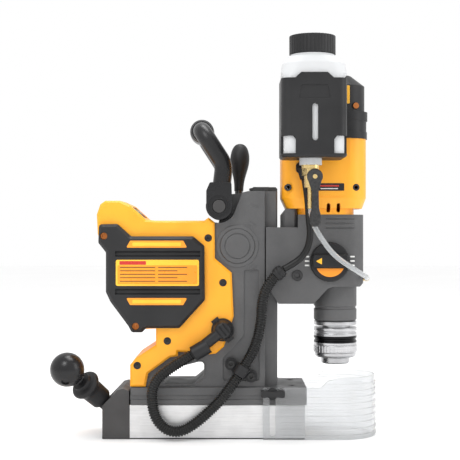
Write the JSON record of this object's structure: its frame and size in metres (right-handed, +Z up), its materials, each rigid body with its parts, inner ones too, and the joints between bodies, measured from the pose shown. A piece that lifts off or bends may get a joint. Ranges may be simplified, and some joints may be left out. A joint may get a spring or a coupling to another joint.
{
  "type": "magnetic drill press",
  "caption": "Cordless magnetic drill press: a drill head on a rack-fed slide over a lever-switched magnet base, with side battery housing, coolant bottle, folding handle and clear guard.",
  "frame": {"origin": "centre of the magnet's bottom face, across its width, under the column", "axes": "+Z up out of the magnet face along the feed travel, +X from the battery housing towards the drill head, Y across the width"},
  "size_m": [0.3729, 0.1967, 0.4519],
  "materials": {
    "pole_steel": "ground",
    "brass": "satin",
    "cast_grey": "textured grey paint",
    "dark_cast": "textured charcoal paint",
    "yellow_shell": "fine moulded texture",
    "black_shell": "fine moulded texture",
    "black_grip": "soft satin",
    "ball_black": "satin",
    "steel": "turned",
    "dark_steel": "blackened",
    "panel": "satin",
    "green": "satin",
    "red": "satin",
    "cord_black": "corrugated",
    "bottle_white": "translucent",
    "clear_tube": "clear",
    "clear_guard": "clear ribbed",
    "copper": "wound wire"
  },
  "bodies": {
    "frame": {"magnet_poles": "pole_steel", "pole_spacer": "brass", "base_housing": "cast_grey", "base_end_cap": "dark_cast", "column": "cast_grey", "feed_plug": "dark_cast", "feed_bushes": "brass", "rear_housing_near": "yellow_shell", "rear_housing_far": "yellow_shell", "battery_covers": "black_shell", "battery_terminal": "black_shell", "control_panel": "panel", "frame_screws": "dark_steel", "handle_pin": "dark_steel", "cable_gland": "black_shell", "conduit_clamp": "black_shell", "conduit_lower": "cord_black"},
    "magnet_lever": {"magnet_rotor": "pole_steel", "lever_arm": "dark_steel", "ball_knob": "ball_black"},
    "lever_lock": {"lock_collar": "black_grip"},
    "feed": {"feed_shaft": "steel", "feed_hub": "dark_steel", "feed_grips": "black_grip"},
    "battery": {"battery_pack": "yellow_shell"},
    "battery_catch": {"battery_latch": "black_shell"},
    "start_key": {"start_button": "green"},
    "stop_key": {"stop_button": "red"},
    "handle": {"carry_handle": "black_shell"},
    "handle_catch": {"handle_button": "cast_grey"},
    "carriage": {"slide_bar": "steel", "gear_case": "cast_grey", "nose": "cast_grey", "drive_bearings": "steel", "drill_screws": "dark_steel", "motor_housing_near": "yellow_shell", "motor_housing_far": "yellow_shell", "motor_cap": "cast_grey", "stator": "copper", "motor_stay": "cast_grey", "bottle_holder": "black_shell", "coolant_bottle": "bottle_white", "coolant_valve": "brass", "coolant_elbow": "brass", "coolant_tube": "clear_tube", "cable_boot": "black_grip", "conduit_upper": "cord_black", "conduit_ferrule": "black_shell", "drill_cable": "cord_black"},
    "motor_armature": {"motor_rotor": "dark_steel"},
    "layshaft": {"layshaft_gear": "steel"},
    "spindle_group": {"spindle": "steel", "chuck_body": "steel"},
    "sleeve": {"chuck_sleeve": "steel"},
    "dial": {"selector_dial": "black_shell"},
    "valve": {"valve_lever": "dark_steel"},
    "filler_cap": {"bottle_cap": "black_shell"},
    "guard": {"guard_shield": "clear_guard"},
    "thumb_near": {"thumb_screw_near": "black_shell"},
    "thumb_far": {"thumb_screw_far": "black_shell"}
  },
  "joints": [
    {"name": "carriage_slide", "type": "slide", "parent": "frame", "child": "carriage", "axis": [0, 0, 1], "range_m": [-0.063, 0.062], "deforming": ["conduit_upper", "conduit_ferrule", "drill_cable"]},
    {"name": "feed_turn", "type": "hinge", "parent": "frame", "child": "feed", "pos_m": [0.0228, 0, 0.22], "axis": [0, -1, 0], "range_deg": [-228, 224]},
    {"name": "lever_swing", "type": "hinge", "parent": "frame", "child": "magnet_lever", "pos_m": [-0.112, 0, 0.019], "axis": [-1, 0, 0], "range_deg": [0, 89]},
    {"name": "lock_pull", "type": "slide", "parent": "magnet_lever", "child": "lever_lock", "axis": [-0.5352, -0.5925, 0.6021], "range_m": [0, 0.004], "stiffness_N_per_m": 1500},
    {"name": "handle_fold", "type": "hinge", "parent": "frame", "child": "handle", "pos_m": [0.0019, 0, 0.2652], "axis": [0, -1, 0], "range_deg": [-12, 55]},
    {"name": "handle_lock_press", "type": "slide", "parent": "handle", "child": "handle_catch", "axis": [0, 1, 0], "range_m": [0, 0.0018], "stiffness_N_per_m": 1200},
    {"name": "battery_slide", "type": "slide", "parent": "frame", "child": "battery", "axis": [-1, 0, 0], "range_m": [0, 0.11]},
    {"name": "battery_latch_press", "type": "slide", "parent": "battery", "child": "battery_catch", "axis": [1, 0, 0], "range_m": [0, 0.002], "stiffness_N_per_m": 1200},
    {"name": "start_press", "type": "slide", "parent": "frame", "child": "start_key", "axis": [-0.6712, 0, -0.7412], "range_m": [0, 0.0015], "stiffness_N_per_m": 1200},
    {"name": "stop_press", "type": "slide", "parent": "frame", "child": "stop_key", "axis": [-0.6712, 0, -0.7412], "range_m": [0, 0.0015], "stiffness_N_per_m": 1200},
    {"name": "spindle_spin", "type": "hinge", "parent": "carriage", "child": "spindle_group", "pos_m": [0.138, 0, 0.12], "axis": [0, 0, 1], "continuous": true},
    {"name": "layshaft_spin", "type": "hinge", "parent": "carriage", "child": "layshaft", "pos_m": [0.1217, 0.0176, 0.2], "axis": [0, 0, 1], "continuous": true},
    {"name": "rotor_spin", "type": "hinge", "parent": "carriage", "child": "motor_armature", "pos_m": [0.118, 0, 0.3], "axis": [0, 0, 1], "continuous": true},
    {"name": "sleeve_slide", "type": "slide", "parent": "spindle_group", "child": "sleeve", "axis": [0, 0, 1], "range_m": [0, 0.0025], "stiffness_N_per_m": 2500},
    {"name": "dial_turn", "type": "hinge", "parent": "carriage", "child": "dial", "pos_m": [0.1282, -0.04, 0.202], "axis": [0, 1, 0], "range_deg": [0, 180]},
    {"name": "valve_turn", "type": "hinge", "parent": "carriage", "child": "valve", "pos_m": [0.1068, -0.095, 0.2967], "axis": [0, 1, 0], "range_deg": [0, 90]},
    {"name": "cap_turn", "type": "hinge", "parent": "carriage", "child": "filler_cap", "pos_m": [0.10525, -0.08, 0.44], "axis": [0, 0, 1], "continuous": true},
    {"name": "guard_slide", "type": "slide", "parent": "frame", "child": "guard", "axis": [0, 0, 1], "range_m": [0, 0.04]},
    {"name": "thumb_near_turn", "type": "hinge", "parent": "frame", "child": "thumb_near", "pos_m": [0.0626, -0.046, 0.053], "axis": [0, 1, 0], "continuous": true},
    {"name": "thumb_far_turn", "type": "hinge", "parent": "frame", "child": "thumb_far", "pos_m": [0.0626, 0.046, 0.053], "axis": [0, 1, 0], "continuous": true}
  ],
  "couplings": [
    {"joint": "feed_turn", "follows": "carriage_slide", "rad_per_m": 62.5},
    {"joint": "layshaft_spin", "follows": "spindle_spin", "ratio": -3.3636},
    {"joint": "rotor_spin", "follows": "spindle_spin", "ratio": 11.773}
  ]
}
